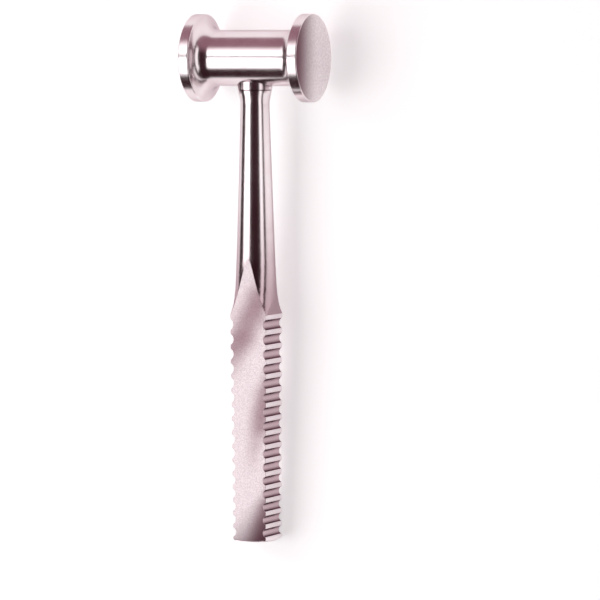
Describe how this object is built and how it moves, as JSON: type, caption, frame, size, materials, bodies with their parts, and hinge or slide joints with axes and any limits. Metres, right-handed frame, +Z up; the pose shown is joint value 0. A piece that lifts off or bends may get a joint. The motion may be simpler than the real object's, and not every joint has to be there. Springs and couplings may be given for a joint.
{
  "type": "surgical mallet",
  "caption": "Solid steel surgical mallet: spool-shaped head with two flat striking flanges on a tapered round handle with a flat-sided grip corrugated on two faces, lying on its side.",
  "frame": {"origin": "on the table, below the middle of the lying mallet's box", "axes": "+X along the head from one striking face to the other, +Y up the handle toward the head, +Z up from the table"},
  "size_m": [0.0584, 0.2398, 0.04],
  "materials": {
    "head_steel": "polished stainless steel, satin striking faces",
    "handle_steel": "polished stainless steel, finely blasted grip flats"
  },
  "bodies": {
    "root": {"head": "head_steel", "handle": "handle_steel"}
  },
  "joints": []
}
